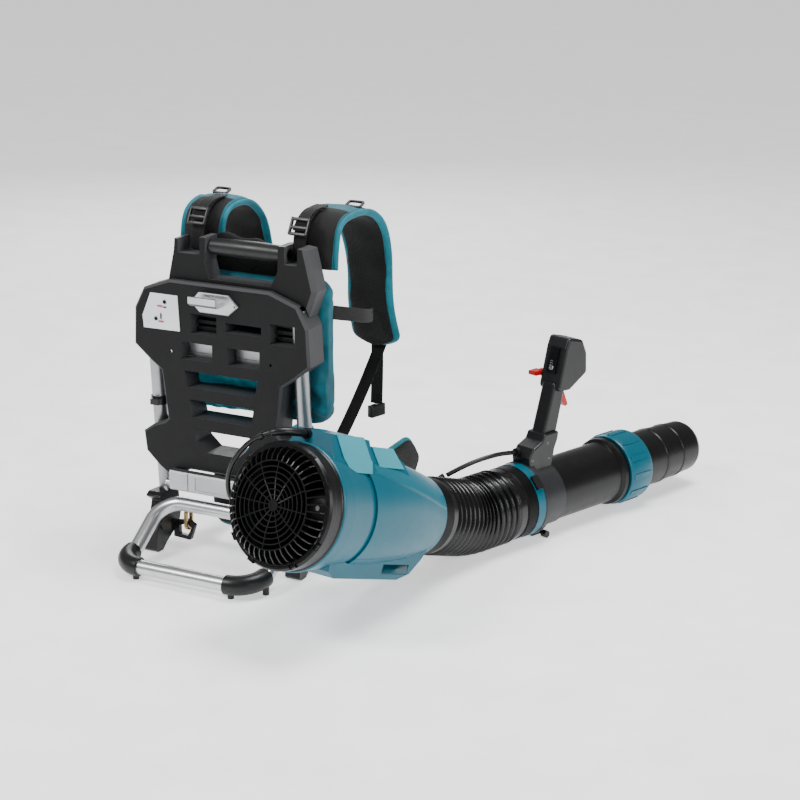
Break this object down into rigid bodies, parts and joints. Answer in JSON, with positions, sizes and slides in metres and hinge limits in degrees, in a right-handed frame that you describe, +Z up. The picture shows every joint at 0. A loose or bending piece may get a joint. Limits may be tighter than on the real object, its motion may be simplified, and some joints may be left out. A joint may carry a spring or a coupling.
{
  "type": "backpack leaf blower",
  "caption": "Backpack leaf blower: harness and carrying frame with a side-hung fan unit, flexible hose and telescoping pipe with a trigger handle.",
  "frame": {"origin": "on the floor, below the middle of the machine's box", "axes": "+Z up, +Y the way the wearer faces and the nozzle points, +X the wearer's right, where the fan unit hangs"},
  "size_m": [0.7402, 1.0784, 0.6059],
  "materials": {
    "tube_aluminium": "satin anodised tube",
    "cast_aluminium": "sand-cast and shot-blasted",
    "zinc_steel": "zinc plated",
    "brass": "brushed brass",
    "plate_black": "fine spark texture",
    "panel_grey": "fine spark texture",
    "fitting_black": "fine texture",
    "grip_black": "moulded grip",
    "label_white": "printed film",
    "pad_teal": "woven nylon over foam",
    "belt_fabric": "woven nylon and mesh over foam",
    "webbing_black": "woven polyester webbing",
    "ring_steel": "black plated",
    "casing_teal": "satin moulded",
    "panel_pale": "satin moulded",
    "duct_black": "satin moulded",
    "sleeve_grey": "satin moulded",
    "hose_rubber": "semi-gloss ribbed",
    "cord_rubber": "smooth sheath",
    "handle_black": "fine texture",
    "trigger_red": "satin moulded",
    "button_silver": "metallic",
    "display_dark": "polished window",
    "impeller_nylon": "glass-filled nylon",
    "motor_iron": "laminated core",
    "motor_steel": "ground"
  },
  "bodies": {
    "frame": {"frame_tubes": "tube_aluminium", "base_loop": "tube_aluminium", "cross_rail": "tube_aluminium", "cross_casting": "cast_aluminium", "hook_plate": "zinc_steel", "swing_pin": "zinc_steel", "snap_hook": "brass", "back_plate": "plate_black", "shoulder_panel": "panel_grey", "tube_brackets": "fitting_black", "corner_covers": "fitting_black", "tube_clip": "fitting_black", "power_socket": "fitting_black", "buckles": "fitting_black", "carry_handle": "grip_black", "label_plate": "label_white", "back_pad": "pad_teal", "hip_belt": "belt_fabric", "shoulder_straps": "belt_fabric", "webbing": "webbing_black", "shoulder_rings": "ring_steel", "power_plug": "duct_black"},
    "wing_bolt": {"wing_bolt": "zinc_steel"},
    "fan": {"rear_shell": "casing_teal", "front_sleeve": "casing_teal", "top_saddle": "casing_teal", "base_box": "casing_teal", "cover_panels": "panel_pale", "intake_ring": "duct_black", "intake_grille": "duct_black", "fan_duct": "duct_black", "outlet_collar": "duct_black", "cable_fittings": "duct_black", "motor_housing": "impeller_nylon", "motor_stator": "motor_iron", "motor_bearings": "motor_steel", "swing_arm": "cast_aluminium", "power_cord": "cord_rubber", "control_cable_rear": "cord_rubber"},
    "rotor": {"impeller": "impeller_nylon", "motor_rotor": "motor_iron"},
    "hose": {"hose_rear": "hose_rubber", "hose_front": "hose_rubber", "hose_clip": "duct_black"},
    "pipe": {"hose_cuff": "duct_black", "clamp_band": "casing_teal", "control_sleeve": "sleeve_grey", "blower_pipe": "duct_black", "handle_left": "handle_black", "handle_right": "handle_black", "handle_relief": "duct_black", "display_panel": "display_dark", "control_cable_front": "cord_rubber"},
    "nozzle": {"nozzle": "duct_black"},
    "length_collar": {"length_collar": "casing_teal"},
    "trigger": {"trigger": "trigger_red"},
    "cruise_lever": {"cruise_lever": "trigger_red"},
    "power_button": {"power_button": "button_silver"},
    "clamp_screw": {"clamp_screw": "motor_steel"},
    "band_latch": {"band_latch": "motor_steel"}
  },
  "joints": [
    {"name": "wing_bolt_turn", "type": "hinge", "parent": "frame", "child": "wing_bolt", "pos_m": [-0.296, -0.2535, 0.13], "axis": [1, 0, 0], "continuous": true},
    {"name": "fan_swing", "type": "hinge", "parent": "frame", "child": "fan", "pos_m": [-0.081, -0.2635, 0.138], "axis": [0, 0, 1], "range_deg": [-10, 15], "deforming": ["power_cord"]},
    {"name": "rotor_spin", "type": "hinge", "parent": "fan", "child": "rotor", "pos_m": [0.07842, -0.37457, 0.1841], "axis": [0.1541, 0.9359, -0.3166], "continuous": true},
    {"name": "hose_yaw", "type": "hinge", "parent": "fan", "child": "hose", "pos_m": [0.1257, -0.08787, 0.08724], "axis": [0, 0, 1], "range_deg": [-15, 15], "deforming": ["hose_rear", "control_cable_rear"]},
    {"name": "pipe_pitch", "type": "hinge", "parent": "hose", "child": "pipe", "pos_m": [0.15079, 0.01493, 0.06728], "axis": [0.9444, -0.3289, 0], "range_deg": [0, 35], "deforming": ["hose_front", "control_cable_front"]},
    {"name": "nozzle_slide", "type": "slide", "parent": "pipe", "child": "nozzle", "axis": [0.3289, 0.9444, 0], "range_m": [0, 0.06]},
    {"name": "collar_turn", "type": "hinge", "parent": "pipe", "child": "length_collar", "pos_m": [0.26681, 0.34965, 0.066], "axis": [0.3289, 0.9444, 0], "range_deg": [0, 35]},
    {"name": "trigger_pull", "type": "hinge", "parent": "pipe", "child": "trigger", "pos_m": [0.21189, 0.19194, 0.245], "axis": [-0.9444, 0.3289, 0], "range_deg": [0, 18], "stiffness_Nm_per_rad": 0.3, "springref_deg": -11.46},
    {"name": "cruise_lever_turn", "type": "hinge", "parent": "pipe", "child": "cruise_lever", "pos_m": [0.18314, 0.19454, 0.274], "axis": [0.9444, -0.3289, 0], "range_deg": [0, 60]},
    {"name": "power_button_press", "type": "slide", "parent": "pipe", "child": "power_button", "axis": [0.3161, 0.9078, -0.2756], "range_m": [0, 0.0015], "stiffness_N_per_m": 600, "springref_m": -0.001},
    {"name": "clamp_screw_turn", "type": "hinge", "parent": "pipe", "child": "clamp_screw", "pos_m": [0.21474, 0.12106, 0.0065], "axis": [0.9444, -0.3289, 0], "continuous": true},
    {"name": "band_latch_open", "type": "hinge", "parent": "pipe", "child": "band_latch", "pos_m": [0.2187, 0.08474, 0.12103], "axis": [-0.3289, -0.9444, 0], "range_deg": [0, 70]}
  ]
}
